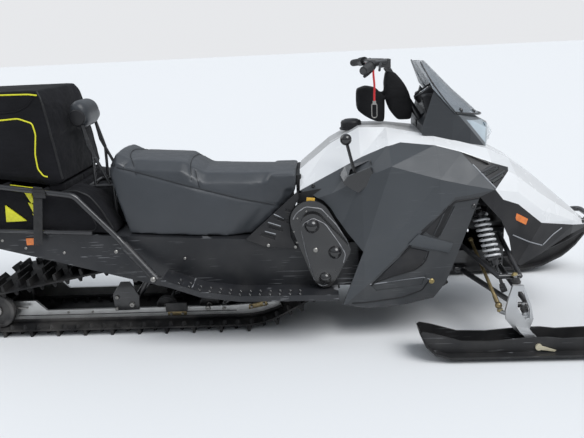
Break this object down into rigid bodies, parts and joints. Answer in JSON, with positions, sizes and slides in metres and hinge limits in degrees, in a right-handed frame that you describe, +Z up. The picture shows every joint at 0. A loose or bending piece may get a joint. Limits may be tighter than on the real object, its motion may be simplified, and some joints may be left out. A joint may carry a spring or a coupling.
{
  "type": "snowmobile",
  "caption": "Utility snowmobile with a wide rubber track, two steered skis, a two-seat bench, a rear rack with soft cargo bags and a low windshield.",
  "frame": {"origin": "on the floor, at the middle of the length and width", "axes": "+X forward, +Y to the rider's left, +Z up"},
  "size_m": [3.42, 1.204, 1.2124],
  "materials": {
    "white_panel": "smooth white bodywork",
    "grey_panel": "fine-grained charcoal bodywork",
    "black_plastic": "moulded black plastic",
    "tunnel_black": "satin black sheet with scratches",
    "steel_black": "powder-coated black steel",
    "bare_aluminium": "worn bare aluminium",
    "zinc_steel": "dull plated steel",
    "track_rubber": "black track rubber",
    "wheel_rubber": "black wheel rubber on plastic",
    "grip_rubber": "soft black rubber",
    "seat_vinyl": "charcoal vinyl",
    "bag_fabric": "black woven nylon",
    "strap_webbing": "black webbing",
    "smoked_screen": "smoked clear plastic",
    "lamp_clear": "clear lamp cover",
    "lamp_red": "red lamp cover",
    "lamp_orange": "orange prismatic reflector",
    "tether_red": "red webbing"
  },
  "bodies": {
    "chassis": {"backrest_frame": "steel_black", "backrest_pad": "seat_vinyl", "bag_lower": "bag_fabric", "bag_straps": "strap_webbing", "bag_upper": "bag_fabric", "belly_pan": "black_plastic", "bogie_wheels": "wheel_rubber", "chaincase_cover": "black_plastic", "console": "white_panel", "dash_pod": "black_plastic", "drive_axle": "black_plastic", "engine": "black_plastic", "footboard_left": "tunnel_black", "footboard_right": "tunnel_black", "front_bumper": "steel_black", "front_frame": "steel_black", "front_shocks": "white_panel", "gear_lever": "black_plastic", "headlight": "lamp_clear", "hood": "white_panel", "lower_arms": "steel_black", "lower_inserts": "grey_panel", "nose_fairing": "black_plastic", "rack": "steel_black", "rack_feet": "black_plastic", "rear_idlers": "wheel_rubber", "reflectors": "lamp_orange", "seat": "seat_vinyl", "side_panel_left": "grey_panel", "side_panel_right": "grey_panel", "side_trims": "black_plastic", "side_vents": "black_plastic", "skid_arms": "steel_black", "skid_shock": "zinc_steel", "slide_rails": "bare_aluminium", "snow_flap": "grip_rubber", "tail_lamp": "lamp_red", "tow_hitch": "steel_black", "track_belt": "track_rubber", "tunnel": "tunnel_black", "upper_arms": "steel_black", "windshield": "smoked_screen"},
    "handlebar": {"handlebar": "steel_black", "grips": "grip_rubber", "bar_controls": "black_plastic", "post_muff": "bag_fabric", "tether_strap": "tether_red", "tether_clip": "zinc_steel"},
    "spindle_right": {"spindle_right": "bare_aluminium"},
    "tie_rod_right": {"tie_rod_right": "zinc_steel"},
    "ski_right": {"ski_right": "black_plastic", "ski_hardware_right": "zinc_steel"},
    "spindle_left": {"spindle_left": "bare_aluminium"},
    "tie_rod_left": {"tie_rod_left": "zinc_steel"},
    "ski_left": {"ski_left": "black_plastic", "ski_hardware_left": "zinc_steel"}
  },
  "joints": [
    {"name": "steer", "type": "hinge", "parent": "chassis", "child": "handlebar", "pos_m": [0.53, 0, 1.18], "axis": [-0.5387, 0, 0.8425], "range_deg": [-30, 30]},
    {"name": "spindle_right_turn", "type": "hinge", "parent": "chassis", "child": "spindle_right", "pos_m": [1.062, -0.452, 0.174], "axis": [-0.2576, 0.1771, 0.9499], "range_deg": [-24.1, 24.1]},
    {"name": "tie_rod_right_swing", "type": "hinge", "parent": "spindle_right", "child": "tie_rod_right", "pos_m": [0.958, -0.442, 0.186], "axis": [-0.2576, 0.1771, 0.9499], "range_deg": [-24.1, 24.1]},
    {"name": "ski_right_pitch", "type": "hinge", "parent": "spindle_right", "child": "ski_right", "pos_m": [1.092, -0.51, 0.052], "axis": [0, 1, 0], "range_deg": [-20, 8]},
    {"name": "spindle_left_turn", "type": "hinge", "parent": "chassis", "child": "spindle_left", "pos_m": [1.062, 0.452, 0.174], "axis": [-0.2576, -0.1771, 0.9499], "range_deg": [-24.1, 24.1]},
    {"name": "tie_rod_left_swing", "type": "hinge", "parent": "spindle_left", "child": "tie_rod_left", "pos_m": [0.958, 0.442, 0.186], "axis": [-0.2576, -0.1771, 0.9499], "range_deg": [-24.1, 24.1]},
    {"name": "ski_left_pitch", "type": "hinge", "parent": "spindle_left", "child": "ski_left", "pos_m": [1.092, 0.51, 0.052], "axis": [0, 1, 0], "range_deg": [-20, 8]}
  ],
  "couplings": [
    {"joint": "spindle_right_turn", "follows": "steer", "ratio": 0.8},
    {"joint": "tie_rod_right_swing", "follows": "steer", "ratio": -0.8},
    {"joint": "spindle_left_turn", "follows": "steer", "ratio": 0.8},
    {"joint": "tie_rod_left_swing", "follows": "steer", "ratio": -0.8}
  ]
}
